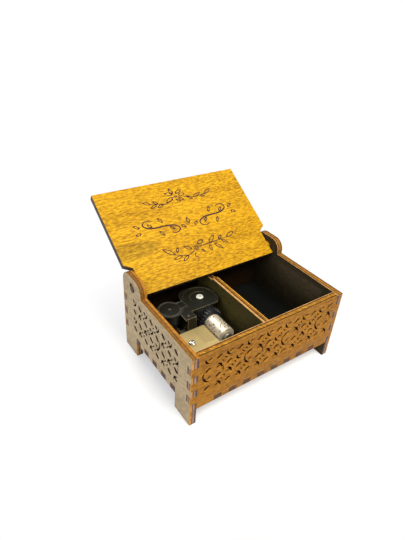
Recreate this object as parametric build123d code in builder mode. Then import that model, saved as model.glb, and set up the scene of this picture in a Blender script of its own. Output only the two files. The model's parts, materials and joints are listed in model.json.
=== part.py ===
"""Music box: a finger-jointed plywood box on four legs, with a lid that turns on its own
square pegs, and a wind-up comb movement standing in its left compartment.

Millimetres. X runs to the right, Y to the back and Z up. The lid stands open, leaning on the
hinge ears, and the origin is on the table under the middle of the open box."""

from build123d import *
import os
from math import atan2, cos, hypot, pi, radians, sin, sqrt

os.makedirs("parts", exist_ok=True)

# Box sizes
box_width = 105.0
box_depth = 75.0
wall_height = 48.0
ply = 4.0
leg_height = 11.0
leg_width = 15.0
finger = 5.0
joint_gap = 0.05
partition_x = 0.0
partition_drop = 4.0
partition_tab = 10.0
felt_thick = 0.8
felt_gap = 0.3

# Lid and hinge
lid_open = 147.0
hinge_from_back = 12.0
lid_rest_gap = 0.1
ear_width = 22.5
ear_height = 9.0
ear_radius = 7.0
peg_width = 3.9
peg_clear = 0.06
lid_tail = 7.0
lid_side_gap = 0.8
shoulder_slope = 0.65
stop_gap = 0.05
swing_gap = 0.35

# Plait cut through the four walls
plait_pitch_u = 6.58
plait_pitch_v = 6.4
plait_rows = 4
plait_margin = 5.0
front_rise = 3.2
side_rise = 2.0
square_hole = 2.2
square_turn = -13.0
leaf_length = 4.8
leaf_flat = 1.6
leaf_bow = 0.75
leaf_shift = 0.75
diamond_hole = 1.5
diamond_length = 2.1
diamond_shift = 1.15
leaf_tilt = -52.0

# Movement: places of its three upright or lying axes
drum_x = -14.2
drum_y = 13.2
axle_height = 13.0
fan_x = -35.6
fan_y = 12.3

# Bedplate
bed_thick = 2.0
bed_left = -44.0
bed_right = -3.6
bed_front = -26.0
bed_back = 24.6
bed_corner = 3.0
bed_screw_inset = 3.6
bed_skin = 0.2
screw_clear = 0.3

# Crown wheel, gears and arbors
crown_teeth = 32
gear_teeth = 25
pinion_teeth = 8
crown_inner = 9.0
crown_outer = 10.3
crown_rim = 0.1
addendum = 0.45
dedendum = 0.62
tooth_root = 0.86
tooth_tip = 0.42
web_thick = 1.2
hub_radius = 3.0
hub_lift = 0.2
arbor_radius = 1.5
run_clear = 0.05
clutch_thick = 0.5
clutch_opening = 1.4

# Spring case and mainspring
case_radius = 8.55
case_wall = 0.8
case_lift = 0.45
case_top = 1.6
pivot_depth = 0.9
spring_strip = 0.35
spring_half_turns = 3
spring_edge_gap = 0.4

# Pinned cylinder
cylinder_radius = 5.4
pin_root = 0.4
cylinder_front = -15.2
cylinder_back = -0.6
shoulder_radius = 6.3
shoulder_thick = 0.7
gear_back = 4.15
axle_radius = 0.8
pin_size = 0.42
pin_height = 0.7
pin_tracks = 18
pin_count = 26
lug_thick = 1.8
lug_half_width = 3.0
lug_gap = 0.4

# Comb
comb_thick = 1.0
comb_rise = 0.8
comb_left = -37.4
comb_back = -1.1
comb_front = -17.8
comb_root = -28.6
comb_slit = 0.2
comb_margin = 1.0
comb_clear = 0.13
comb_screw_y = -11.3
comb_screw_inset = 2.7
comb_screw_head = 1.9
comb_screw_high = 1.3
comb_screw_deep = 3.0
comb_hole_deep = 4.0
comb_lip = 1.0
ledge_inset = 2.0
ledge_depth = 3.7
ledge_gap = 0.3
small_shank = 1.0
slot_width = 0.5
slot_depth = 0.5

# Bridge
bridge_top = 22.2
bridge_thick = 1.0
lobe_radius = 11.3
lobe_front = 4.3
lobe_corner = 7.5
bridge_left = -32.8
bridge_front = -1.0
bridge_inner = -25.4
leg_left = -31.3
leg_back = 11.6
bridge_screw_head = 2.2
bridge_screw_high = 0.9

# Governor
governor_arbor = 0.6
pinion_length = 1.2
pinion_tooth_root = 0.8
pinion_tooth_tip = 0.36
wheel_teeth = 18
wheel_thick = 1.0
wheel_addendum = 0.26
wheel_dedendum = 0.4
wheel_tooth_root = 0.6
wheel_tooth_tip = 0.3
thread_step = 1.4
worm_turns = 2
worm_pitch_radius = 1.3
worm_outer = 1.6
worm_core = 0.8
thread_facets = 8
thread_root = 0.6
thread_sunk = 0.15
fan_radius = 5.0
fan_thick = 0.5
fan_height = 4.2
fan_hub = 2.2
fan_gap = 0.5
cup_outer = 7.3
cup_inner = 6.0
cup_floor = 0.7
cup_base = 14.0
cup_gap = 0.3
cap_radius = 6.3
tab_width = 5.2
tab_reach = 10.0
tab_wall = 1.0
post_width = 4.6
post_thick = 2.0
push_clear = 0.02

# Winding key
key_hub = 2.4
key_floor = 2.0
key_hub_top = 9.4
key_span = 18.0
key_wing = 7.0
key_thick = 1.3
key_waist = 4.0
key_corner = 1.5
arbor_foot = 4.6
stem_hole = 3.6
case_screw_head = 2.1
case_screw_high = 1.2

# Places worked out from the sizes above
half_width = box_width / 2
half_depth = box_depth / 2
inner_width = half_width - ply
inner_depth = half_depth - ply
floor_top = leg_height + ply
finger_base = leg_height + finger
finger_count = int((wall_height - finger_base) // (2 * finger))
leg_gap = box_depth - 2 * leg_width
long_tabs = int((box_width - 2 * ply - 2 * finger) // (2 * finger))
short_tabs = int((leg_gap + finger) // (2 * finger))
hinge_y = half_depth - hinge_from_back
hinge_z = wall_height + lid_rest_gap + ply / 2
peg_hole = hypot(peg_width, ply) / 2 + peg_clear
tail_swing = hypot(lid_tail, ply / 2) + swing_gap
bed_top = floor_top + bed_thick
axle_z = floor_top + axle_height
crown_mean = (crown_inner + crown_outer) / 2
gear_pitch = gear_teeth * crown_mean / crown_teeth
pinion_pitch = pinion_teeth * crown_mean / crown_teeth
pitch_z = axle_z - gear_pitch
crown_root_z = pitch_z - dedendum
crown_tip_z = pitch_z + addendum
bridge_z = floor_top + bridge_top
case_z = bridge_z - bridge_thick
case_foot = crown_tip_z + case_lift
governor_z = pitch_z + pinion_pitch
wheel_pitch = wheel_teeth * thread_step / (2 * pi)
worm_distance = wheel_pitch + worm_pitch_radius
fan_away = hypot(fan_x - drum_x, fan_y - drum_y)
wheel_away = sqrt(fan_away**2 - worm_distance**2)
governor_turn = atan2(fan_y - drum_y, fan_x - drum_x) + atan2(worm_distance, wheel_away)
cup_z = floor_top + cup_base

# The lid's own directions, as (y, z): along it and out of its outer face
along = (-cos(radians(lid_open)), sin(radians(lid_open)))
outward = (sin(radians(lid_open)), cos(radians(lid_open)))

# The origin stands under the middle of the open box, so the walls stand a little in front of it
lid_reach = hinge_y + half_depth
open_reach = hinge_y + lid_reach * along[0] + ply / 2 * outward[0]
ground = Plane(origin=(0, (half_depth - open_reach) / 2, 0))
facing = Plane(origin=ground.origin, x_dir=(1, 0, 0), z_dir=(0, -1, 0))
across = Plane(origin=ground.origin, x_dir=(0, 1, 0), z_dir=(1, 0, 0))


def finger_heights():
    """Middle heights of the fingers of the front and back walls."""
    return [finger_base + finger * (2 * k + 0.5) for k in range(finger_count)]


def tab_places(count):
    """Middles of a row of floor tabs, one finger wide and one finger apart."""
    return [2 * finger * (k - (count - 1) / 2) for k in range(count)]


def gear_outline(teeth, tip, root, tip_width, root_width, phase=0.0):
    """Straight-sided gear outline, with one tooth middle at the phase angle."""
    corners = []
    for k in range(teeth):
        middle = phase + 2 * pi * k / teeth
        for reach, width in ((root, -root_width), (tip, -tip_width), (tip, tip_width), (root, root_width)):
            turn = middle + width / (2 * reach)
            corners.append((reach * cos(turn), reach * sin(turn)))
    Polygon(*corners, align=None)


def governor_plane(away):
    """Upright plane square to the governor arbor, at this distance from the winding arbor."""
    out = Vector(cos(governor_turn), sin(governor_turn), 0)
    centre = ground.from_local_coords((drum_x, drum_y, governor_z)) + out * away
    return Plane(origin=centre, x_dir=(-out.Y, out.X, 0), z_dir=out)


# One cell of the plait: a slit that thickens to its middle, beside a small diamond
with BuildSketch() as leaf_cell:
    with BuildLine():
        Polyline(
            (-leaf_length / 2, -leaf_shift),
            (-leaf_flat / 2, -leaf_shift - leaf_bow),
            (leaf_flat / 2, -leaf_shift - leaf_bow),
            (leaf_length / 2, -leaf_shift),
            close=True,
        )
    make_face()
    with Locations((0, diamond_shift)):
        Rectangle(diamond_length, diamond_hole)


def plait(plane, length, rise, way=1):
    """Sketch of the plait's holes: a lattice, where plain holes and leaf cells take turns."""
    columns = 2 * int((length / 2 - plait_margin) / plait_pitch_u + 0.5)
    centre = (leg_height + wall_height) / 2 + rise

    def spot(column, row):
        u = way * (column - (columns - 1) / 2) * plait_pitch_u
        v = centre + ((plait_rows - 1) / 2 - row) * plait_pitch_v
        return u, v

    with BuildSketch(plane) as cuts:
        for column in range(columns):
            for row in range(plait_rows):
                if (column + row) % 2:
                    with Locations(spot(column, row)):
                        Rectangle(square_hole, square_hole, rotation=square_turn)
                else:
                    turned = 180 * ((column // 2 + row) % 2)
                    if row in (0, plait_rows - 1):
                        turned = 180 if row else 0
                    with Locations(Location((*spot(column, row), 0), (0, 0, leaf_tilt + turned))):
                        add(leaf_cell.sketch)
    return cuts.sketch


def make_long_wall(plane):
    """Front or back wall: fingers at both ends, notches for the floor tabs, the plait."""
    with BuildPart() as wall:
        with BuildSketch(plane):
            with Locations((0, (leg_height + wall_height) / 2)):
                Rectangle(2 * (inner_width - joint_gap), wall_height - leg_height)
            with Locations(*[(0, z) for z in finger_heights()]):
                Rectangle(box_width, finger)
            with Locations(*[(u, leg_height + ply / 2) for u in tab_places(long_tabs)]):
                Rectangle(finger + 2 * joint_gap, ply + 2 * joint_gap, mode=Mode.SUBTRACT)
        extrude(amount=ply)
        extrude(plait(plane, 2 * inner_width, front_rise), amount=ply, mode=Mode.SUBTRACT)
    return wall


def make_side_wall(plane, way):
    """Side wall: two legs, finger notches, notches for the floor tabs, the ear and its hole."""
    with BuildPart() as wall:
        with BuildSketch(plane):
            with Locations((half_depth - ear_width / 2, wall_height)):
                Rectangle(ear_width, 2 * ear_height)
            fillet(vertices().group_by(Axis.Y)[-1], radius=ear_radius)
            with Locations((0, wall_height / 2)):
                Rectangle(box_depth, wall_height)
            with Locations((0, leg_height / 2)):
                Rectangle(leg_gap, leg_height, mode=Mode.SUBTRACT)
            for side in (-1, 1):
                with Locations(*[(side * (half_depth - ply / 2), z) for z in finger_heights()]):
                    Rectangle(ply + 2 * joint_gap, finger + 2 * joint_gap, mode=Mode.SUBTRACT)
            with Locations(*[(v, leg_height + ply / 2) for v in tab_places(short_tabs)]):
                Rectangle(finger + 2 * joint_gap, ply + 2 * joint_gap, mode=Mode.SUBTRACT)
            with Locations((hinge_y, hinge_z)):
                Circle(peg_hole, mode=Mode.SUBTRACT)
        extrude(amount=ply)
        extrude(plait(plane, 2 * inner_depth, side_rise, way), amount=ply, mode=Mode.SUBTRACT)
    return wall


front_panel = make_long_wall(facing.offset(inner_depth))
front_panel.part.label = "front_panel"
export_step(front_panel.part, "parts/front_panel.step")

back_panel = make_long_wall(facing.offset(-half_depth))
back_panel.part.label = "back_panel"
export_step(back_panel.part, "parts/back_panel.step")

left_side_panel = make_side_wall(across.offset(-half_width), -1)
left_side_panel.part.label = "left_side_panel"
export_step(left_side_panel.part, "parts/left_side_panel.step")

right_side_panel = make_side_wall(across.offset(inner_width), 1)
right_side_panel.part.label = "right_side_panel"
export_step(right_side_panel.part, "parts/right_side_panel.step")

# Screw places of the movement: two opposite corners of its bedplate
bed_screws = [
    (bed_left + bed_screw_inset, bed_front + bed_screw_inset),
    (bed_right - bed_screw_inset, bed_back - bed_screw_inset),
]

# Floor of the box: tabs on all four edges, slots for the partition, holes for key and screws
with BuildPart() as bottom_panel:
    with BuildSketch(ground.offset(leg_height)):
        Rectangle(2 * (inner_width - joint_gap), 2 * (inner_depth - joint_gap))
        with Locations(*[(u, 0) for u in tab_places(long_tabs)]):
            Rectangle(finger, box_depth)
        with Locations(*[(0, v) for v in tab_places(short_tabs)]):
            Rectangle(box_width, finger)
        with Locations((partition_x, -inner_depth / 2), (partition_x, inner_depth / 2)):
            Rectangle(ply + 2 * joint_gap, partition_tab + 2 * joint_gap, mode=Mode.SUBTRACT)
        with Locations((drum_x, drum_y)):
            Circle(stem_hole, mode=Mode.SUBTRACT)
        with Locations(*bed_screws):
            Circle(small_shank + screw_clear, mode=Mode.SUBTRACT)
    extrude(amount=ply)
bottom_panel.part.label = "bottom_panel"
export_step(bottom_panel.part, "parts/bottom_panel.step")

# Partition: one ply lower than the walls, cut down at the back where the lid's tail swings
with BuildPart() as partition:
    with BuildSketch(across.offset(partition_x - ply / 2)):
        partition_top = wall_height - partition_drop
        notch_front = hinge_y - tail_swing
        notch_floor = hinge_z - tail_swing
        reach = inner_depth - joint_gap
        with BuildLine():
            Polyline(
                (-reach, floor_top),
                (-reach, partition_top),
                (notch_front, partition_top),
                (notch_front, notch_floor),
                (reach, notch_floor),
                (reach, floor_top),
                close=True,
            )
        make_face()
        with Locations((-inner_depth / 2, leg_height + ply / 2), (inner_depth / 2, leg_height + ply / 2)):
            Rectangle(partition_tab, ply)
    extrude(amount=ply)
partition.part.label = "partition"
export_step(partition.part, "parts/partition.step")

# Felt on the floor of the right compartment
with BuildPart() as felt_floor:
    felt_left = partition_x + ply / 2 + felt_gap
    felt_right = inner_width - felt_gap
    with BuildSketch(ground.offset(floor_top)):
        with Locations(((felt_left + felt_right) / 2, 0)):
            Rectangle(felt_right - felt_left, 2 * (inner_depth - felt_gap))
    extrude(amount=felt_thick)
felt_floor.part.label = "felt_floor"
export_step(felt_floor.part, "parts/felt_floor.step")

# Lid, drawn on the plane through its hinge axis, with its own axes along the width and the lid.
# Its shoulders stop on the rear rounds of the ears, which sets how far it opens.
lid_plane = Plane(
    origin=ground.from_local_coords((0, hinge_y, hinge_z)),
    x_dir=(1, 0, 0),
    z_dir=(0, -outward[0], -outward[1]),
)
round_y = hinge_from_back - ear_radius - ply / 2 * outward[0]
round_z = wall_height + ear_height - ear_radius - hinge_z - ply / 2 * outward[1]
on_line = along[0] * round_y + along[1] * round_z
lid_shoulder = on_line + sqrt(on_line**2 - round_y**2 - round_z**2 + (ear_radius + stop_gap) ** 2)
with BuildPart() as lid:
    with BuildSketch(lid_plane.offset(-ply / 2)):
        neck = inner_width - lid_side_gap
        with BuildLine():
            Polyline(
                (0, lid_reach),
                (half_width, lid_reach),
                (half_width, lid_shoulder + ply * shoulder_slope),
                (neck, lid_shoulder - lid_side_gap * shoulder_slope),
                (neck, -lid_tail),
                (0, -lid_tail),
            )
            mirror(about=Plane.YZ)
        make_face()
        Rectangle(box_width, peg_width)
    extrude(amount=ply)
lid.part.label = "lid"
export_step(lid.part, "parts/lid.step")

# Bedplate: the cast base, with the block that the comb lies on, its ledge beside the leg of the
# bridge, and the front bearing lug
pedestal_top = axle_z + comb_rise - comb_thick
lug_back = cylinder_front - lug_gap
with BuildPart() as bedplate:
    with BuildSketch(ground.offset(floor_top)):
        with Locations(((bed_left + bed_right) / 2, (bed_front + bed_back) / 2)):
            Rectangle(bed_right - bed_left, bed_back - bed_front)
        chamfer(vertices(), length=bed_corner)
        with Locations((drum_x, drum_y)):
            Circle(arbor_radius + run_clear, mode=Mode.SUBTRACT)
    extrude(amount=bed_thick)
    with BuildSketch(ground.offset(bed_top)):
        with Locations((comb_left, comb_front)):
            Rectangle(
                comb_root - comb_left - comb_lip, comb_back - comb_front, align=(Align.MIN, Align.MIN)
            )
        with Locations((comb_left + ledge_inset, comb_back)):
            Rectangle(
                leg_left - ledge_gap - comb_left - ledge_inset, ledge_depth, align=(Align.MIN, Align.MIN)
            )
    extrude(amount=pedestal_top - bed_top)
    with BuildSketch(facing.offset(-lug_back)):
        with Locations((drum_x, (bed_top + axle_z) / 2)):
            Rectangle(2 * lug_half_width, axle_z - bed_top)
        with Locations((drum_x, axle_z)):
            Circle(lug_half_width)
            Circle(axle_radius + run_clear, mode=Mode.SUBTRACT)
    extrude(amount=lug_thick)
    with BuildSketch(ground.offset(floor_top)):
        with Locations(*bed_screws):
            Circle(small_shank + run_clear)
    extrude(amount=bed_thick - bed_skin, mode=Mode.SUBTRACT)
    with BuildSketch(ground.offset(pedestal_top)):
        with Locations((comb_left + comb_screw_inset, comb_screw_y)):
            Circle(small_shank + run_clear)
    extrude(amount=-comb_hole_deep, mode=Mode.SUBTRACT)
    with BuildSketch(ground.offset(bed_top)):
        with Locations((fan_x, fan_y)):
            Circle(worm_core + run_clear)
    extrude(amount=-bed_thick / 2, mode=Mode.SUBTRACT)
bedplate.part.label = "bedplate"
export_step(bedplate.part, "parts/bedplate.step")

# Comb: a steel plate slit into one tooth for each track of pins
comb_tip = drum_x - cylinder_radius - pin_height - comb_clear
tooth_pitch = (cylinder_back - cylinder_front - 2 * comb_margin) / pin_tracks
first_slit = cylinder_front + comb_margin
with BuildPart() as comb:
    with BuildSketch(ground.offset(pedestal_top)):
        with Locations((comb_left, comb_front)):
            Rectangle(comb_tip - comb_left, comb_back - comb_front, align=(Align.MIN, Align.MIN))
        for k in range(pin_tracks + 1):
            with Locations((comb_root, first_slit + k * tooth_pitch)):
                Rectangle(
                    comb_tip - comb_root, comb_slit, align=(Align.MIN, Align.CENTER), mode=Mode.SUBTRACT
                )
        with Locations((comb_left + comb_screw_inset, comb_screw_y)):
            Circle(small_shank + run_clear, mode=Mode.SUBTRACT)
    extrude(amount=comb_thick)
comb.part.label = "comb"
export_step(comb.part, "parts/comb.step")

# Slotted comb screw
with BuildPart(ground) as comb_screw:
    with Locations((comb_left + comb_screw_inset, comb_screw_y, pedestal_top + comb_thick)):
        Cylinder(comb_screw_head, comb_screw_high, align=(Align.CENTER, Align.CENTER, Align.MIN))
        Cylinder(
            small_shank, comb_thick + comb_screw_deep, align=(Align.CENTER, Align.CENTER, Align.MAX)
        )
    with Locations((comb_left + comb_screw_inset, comb_screw_y, pedestal_top + comb_thick + comb_screw_high)):
        Box(
            2 * comb_screw_head, slot_width, slot_depth,
            align=(Align.CENTER, Align.CENTER, Align.MAX), mode=Mode.SUBTRACT,
        )
comb_screw.part.label = "comb_screw"
export_step(comb_screw.part, "parts/comb_screw.step")

# Two screws up through the floor of the box into the bedplate
with BuildPart(ground) as movement_screws:
    with Locations(*[(x, y, leg_height) for x, y in bed_screws]):
        Cylinder(case_screw_head, case_screw_high, align=(Align.CENTER, Align.CENTER, Align.MAX))
        Cylinder(small_shank, ply + bed_thick - 2 * bed_skin, align=(Align.CENTER, Align.CENTER, Align.MIN))
movement_screws.part.label = "movement_screws"
export_step(movement_screws.part, "parts/movement_screws.step")

# Pinned cylinder, with its pins on a golden-angle spread of tracks
with BuildPart() as pinned_cylinder:
    with BuildSketch(facing.offset(-cylinder_back)):
        with Locations((drum_x, axle_z)):
            Circle(cylinder_radius)
            Circle(axle_radius + run_clear, mode=Mode.SUBTRACT)
    extrude(amount=cylinder_back - cylinder_front)
    pin_planes = []
    for k in range(pin_count):
        track_y = first_slit + (k * 7 % pin_tracks + 0.5) * tooth_pitch
        turn = k * pi * (3 - sqrt(5))
        out = Vector(cos(turn), 0, sin(turn))
        foot = ground.from_local_coords((drum_x, track_y, axle_z)) + out * (cylinder_radius - pin_root)
        pin_planes.append(Plane(origin=foot, x_dir=(0, 1, 0), z_dir=out))
    with BuildSketch(*pin_planes):
        Rectangle(pin_size, pin_size)
    extrude(amount=pin_height + pin_root)
pinned_cylinder.part.label = "pinned_cylinder"
export_step(pinned_cylinder.part, "parts/pinned_cylinder.step")

# Gear on the back end of the cylinder, with the shoulder that the cylinder seats on
with BuildPart() as cylinder_gear:
    with BuildSketch(facing.offset(-gear_back)) as gear_sketch:
        with Locations((drum_x, axle_z)):
            gear_outline(
                gear_teeth, gear_pitch + addendum, gear_pitch - dedendum, tooth_tip, tooth_root,
                -pi / 2 + pi / gear_teeth,
            )
            Circle(axle_radius + run_clear, mode=Mode.SUBTRACT)
    extrude(amount=gear_back - cylinder_back - shoulder_thick)
    with BuildSketch(facing.offset(-cylinder_back - shoulder_thick)):
        with Locations((drum_x, axle_z)):
            Circle(shoulder_radius)
            Circle(axle_radius + run_clear, mode=Mode.SUBTRACT)
    extrude(amount=shoulder_thick)
cylinder_gear.part.label = "cylinder_gear"
export_step(cylinder_gear.part, "parts/cylinder_gear.step")

# Cylinder arbor: from the front bearing lug to a hole in the wall of the spring case
lug_front = lug_back - lug_thick
arbor_back = drum_y - case_radius + case_wall - run_clear
with BuildPart() as cylinder_arbor:
    with BuildSketch(facing.offset(-arbor_back)):
        with Locations((drum_x, axle_z)):
            Circle(axle_radius)
    extrude(amount=arbor_back - lug_front)
cylinder_arbor.part.label = "cylinder_arbor"
export_step(cylinder_arbor.part, "parts/cylinder_arbor.step")

# One crown tooth, at the origin, standing up and running along Y
with BuildPart() as crown_tooth:
    with BuildSketch(Plane.XZ.offset(crown_inner)):
        with BuildLine():
            Polyline(
                (-tooth_root / 2, 0), (tooth_root / 2, 0),
                (tooth_tip / 2, addendum + dedendum), (-tooth_tip / 2, addendum + dedendum), close=True,
            )
        make_face()
    extrude(amount=crown_outer - crown_inner)

# Great wheel: a web with upright crown teeth, on a hub that runs on the winding arbor
with BuildPart(ground) as great_wheel:
    with BuildSketch(ground.offset(crown_root_z - web_thick)):
        with Locations((drum_x, drum_y)):
            Circle(crown_outer + crown_rim)
    extrude(amount=web_thick)
    with BuildSketch(ground.offset(bed_top + hub_lift)):
        with Locations((drum_x, drum_y)):
            Circle(hub_radius)
    extrude(amount=crown_root_z - web_thick - bed_top - hub_lift)
    with Locations((drum_x, drum_y, crown_root_z)):
        with PolarLocations(0, crown_teeth):
            add(crown_tooth.part)
    with BuildSketch(ground.offset(bed_top)):
        with Locations((drum_x, drum_y)):
            Circle(arbor_radius + run_clear)
    extrude(amount=axle_height, mode=Mode.SUBTRACT)
great_wheel.part.label = "great_wheel"
export_step(great_wheel.part, "parts/great_wheel.step")

# One-way clutch: an open band that grips the arbor on top of the great wheel
with BuildPart() as clutch_spring:
    with BuildSketch(ground.offset(crown_root_z)):
        clutch_radius = arbor_radius + run_clear + clutch_thick
        with Locations((drum_x, drum_y)):
            Circle(clutch_radius)
            Circle(arbor_radius + run_clear, mode=Mode.SUBTRACT)
            Rectangle(
                2 * clutch_radius, clutch_opening, align=(Align.MIN, Align.CENTER), mode=Mode.SUBTRACT
            )
    extrude(amount=case_foot - crown_root_z - hub_lift)
clutch_spring.part.label = "clutch_spring"
export_step(clutch_spring.part, "parts/clutch_spring.step")

# Spring case: a cup turned over the great wheel. The bore in its top takes the winding arbor from
# below and the bridge screw from above, and a hole in its wall takes the cylinder's arbor.
case_ceiling = case_z - case_top
with BuildPart() as spring_case:
    with BuildSketch(ground.offset(case_foot)):
        with Locations((drum_x, drum_y)):
            Circle(case_radius)
            Circle(arbor_radius + run_clear, mode=Mode.SUBTRACT)
    extrude(amount=case_z - case_foot)
    with BuildSketch(ground.offset(case_foot)):
        with Locations((drum_x, drum_y)):
            Circle(case_radius - case_wall)
    extrude(amount=case_ceiling - case_foot, mode=Mode.SUBTRACT)
    with BuildSketch(facing.offset(case_radius - drum_y)):
        with Locations((drum_x, axle_z)):
            Circle(axle_radius + run_clear)
    extrude(amount=-2 * case_wall, mode=Mode.SUBTRACT)
spring_case.part.label = "spring_case"
export_step(spring_case.part, "parts/spring_case.step")

# Mainspring: a strip wound in half turns, from the arbor to the wall of the case
spring_inner = arbor_radius + run_clear
spring_outer = case_radius - case_wall - run_clear - spring_strip
spring_step = (spring_outer - spring_inner) / spring_half_turns
spring_foot = case_foot + spring_edge_gap
with BuildPart() as mainspring:
    with BuildSketch(ground.offset(spring_foot)):
        for k in range(spring_half_turns):
            inner = spring_inner + (k + 0.5) * spring_step
            side = 1 if k % 2 == 0 else -1
            centre = drum_x - side * spring_step / 2
            with BuildLine():
                CenterArc((centre, drum_y), inner, 90 - side * 90, 180)
                CenterArc((centre, drum_y), inner + spring_strip, 90 - side * 90, 180)
                Line((centre - inner, drum_y), (centre - inner - spring_strip, drum_y))
                Line((centre + inner, drum_y), (centre + inner + spring_strip, drum_y))
            make_face()
    extrude(amount=case_ceiling - spring_edge_gap - spring_foot)
mainspring.part.label = "mainspring"
export_step(mainspring.part, "parts/mainspring.step")

# Winding arbor: from the key up through the great wheel and the spring to the top of the case
arbor_top = case_ceiling + pivot_depth
with BuildPart(ground) as winding_arbor:
    with Locations((drum_x, drum_y, arbor_foot)):
        Cylinder(arbor_radius, arbor_top - arbor_foot, align=(Align.CENTER, Align.CENTER, Align.MIN))
winding_arbor.part.label = "winding_arbor"
export_step(winding_arbor.part, "parts/winding_arbor.step")

# Winding key: a hub pushed on the arbor, with two flat wings that widen outwards
with BuildPart() as winding_key:
    key_middle = ground.from_local_coords((drum_x, drum_y, key_floor + key_wing / 2))
    with BuildSketch(Plane(origin=key_middle, x_dir=(1, 0, 0), z_dir=(0, -1, 0))):
        with BuildLine():
            Polyline(
                (0, key_waist / 2), (key_span / 2 - key_corner, key_wing / 2),
                (key_span / 2, key_wing / 2 - key_corner), (key_span / 2, key_corner - key_wing / 2),
                (key_span / 2 - key_corner, -key_wing / 2), (0, -key_waist / 2),
            )
            mirror(about=Plane.YZ)
        make_face()
    extrude(amount=key_thick / 2, both=True)
    with BuildSketch(ground.offset(key_floor)):
        with Locations((drum_x, drum_y)):
            Circle(key_hub)
    extrude(amount=key_hub_top - key_floor)
    with BuildSketch(ground.offset(arbor_foot)):
        with Locations((drum_x, drum_y)):
            Circle(arbor_radius + push_clear)
    extrude(amount=key_hub_top - arbor_foot, mode=Mode.SUBTRACT)
winding_key.part.label = "winding_key"
export_step(winding_key.part, "parts/winding_key.step")

# Bridge: a bent plate with a round lobe over the spring case and a leg that bears the governor
with BuildPart() as bridge:
    with BuildSketch(ground.offset(case_z)):
        lobe_left = fan_x + tab_reach + cup_gap
        with Locations((lobe_left, drum_y)):
            Rectangle(drum_x - lobe_left, lobe_radius, align=(Align.MIN, Align.MIN))
        fillet(vertices().group_by(Axis.Y)[-1].sort_by(Axis.X)[0], radius=lobe_corner)
        with Locations((drum_x, drum_y)):
            Circle(lobe_radius)
        with Locations((bridge_left, bridge_front)):
            Rectangle(drum_x - bridge_left, drum_y - bridge_front, align=(Align.MIN, Align.MIN))
        with Locations((bridge_inner, lobe_front)):
            Rectangle(
                2 * lobe_radius + drum_x - bridge_inner, lobe_radius,
                align=(Align.MIN, Align.MAX), mode=Mode.SUBTRACT,
            )
        with Locations((fan_x, fan_y - tab_width / 2 - cup_gap)):
            Rectangle(
                tab_reach + cup_gap, 2 * lobe_radius,
                align=(Align.MIN, Align.MIN), mode=Mode.SUBTRACT,
            )
        with Locations((drum_x, drum_y)):
            Circle(arbor_radius + run_clear, mode=Mode.SUBTRACT)
    extrude(amount=bridge_thick)
    with BuildSketch(ground.offset(bed_top)):
        with Locations((leg_left, bridge_front)):
            Rectangle(bridge_inner - leg_left, leg_back - bridge_front, align=(Align.MIN, Align.MIN))
    extrude(amount=case_z - bed_top)
    with BuildSketch(ground.offset(cup_z - cup_gap)):
        with Locations((fan_x, fan_y)):
            Circle(cup_outer + cup_gap)
    extrude(amount=bridge_z - cup_z + cup_gap, mode=Mode.SUBTRACT)
    with BuildSketch(governor_plane(0)):
        Circle(governor_arbor + run_clear)
    extrude(amount=wheel_away, mode=Mode.SUBTRACT)
bridge.part.label = "bridge"
export_step(bridge.part, "parts/bridge.step")

# Slotted screw that holds the spring case under the bridge
with BuildPart(ground) as bridge_screw:
    with Locations((drum_x, drum_y, bridge_z)):
        Cylinder(bridge_screw_head, bridge_screw_high, align=(Align.CENTER, Align.CENTER, Align.MIN))
        Cylinder(
            arbor_radius, bridge_thick + case_top - pivot_depth - hub_lift,
            align=(Align.CENTER, Align.CENTER, Align.MAX),
        )
    with Locations((drum_x, drum_y, bridge_z + bridge_screw_high)):
        Box(
            2 * bridge_screw_head, slot_width, slot_depth,
            align=(Align.CENTER, Align.CENTER, Align.MAX), mode=Mode.SUBTRACT,
        )
bridge_screw.part.label = "bridge_screw"
export_step(bridge_screw.part, "parts/bridge_screw.step")

# Governor housing: a cup round the fan, on two posts, with a rim round the cap and its tab
with BuildPart() as governor_housing:
    with BuildSketch(ground.offset(cup_z)):
        with Locations((fan_x, fan_y)):
            Circle(cup_outer)
    extrude(amount=case_z - cup_z)
    with BuildSketch(ground.offset(cup_z + cup_floor)):
        with Locations((fan_x, fan_y)):
            Circle(cup_inner)
    extrude(amount=case_z - cup_z, mode=Mode.SUBTRACT)
    with BuildSketch(ground.offset(bed_top)):
        with Locations((fan_x - cup_outer, fan_y)):
            Rectangle(post_thick, post_width, align=(Align.MIN, Align.CENTER))
        with Locations((fan_x, fan_y + cup_outer)):
            Rectangle(post_width, post_thick, align=(Align.CENTER, Align.MAX))
    extrude(amount=cup_z + cup_floor - bed_top)
    with BuildSketch(ground.offset(case_z - bridge_thick)):
        tab_side = fan_y + tab_width / 2 + cup_gap + tab_wall
        with Locations((fan_x + cup_inner, tab_side)):
            Rectangle(tab_reach - cup_inner, tab_side - leg_back - cup_gap, align=(Align.MIN, Align.MAX))
        with Locations((fan_x, fan_y)):
            Circle(cup_outer)
            Circle(cup_inner, mode=Mode.SUBTRACT)
    extrude(amount=2 * bridge_thick)
    with BuildSketch(ground.offset(case_z)):
        with Locations((fan_x, fan_y)):
            Circle(cap_radius + cup_gap)
            Rectangle(tab_reach, tab_width + 2 * cup_gap, align=(Align.MIN, Align.CENTER))
    extrude(amount=bridge_thick, mode=Mode.SUBTRACT)
    with BuildSketch(ground.offset(cup_z)):
        with Locations((fan_x, fan_y)):
            Circle(worm_core + run_clear)
    extrude(amount=cup_floor, mode=Mode.SUBTRACT)
governor_housing.part.label = "governor_housing"
export_step(governor_housing.part, "parts/governor_housing.step")

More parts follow.
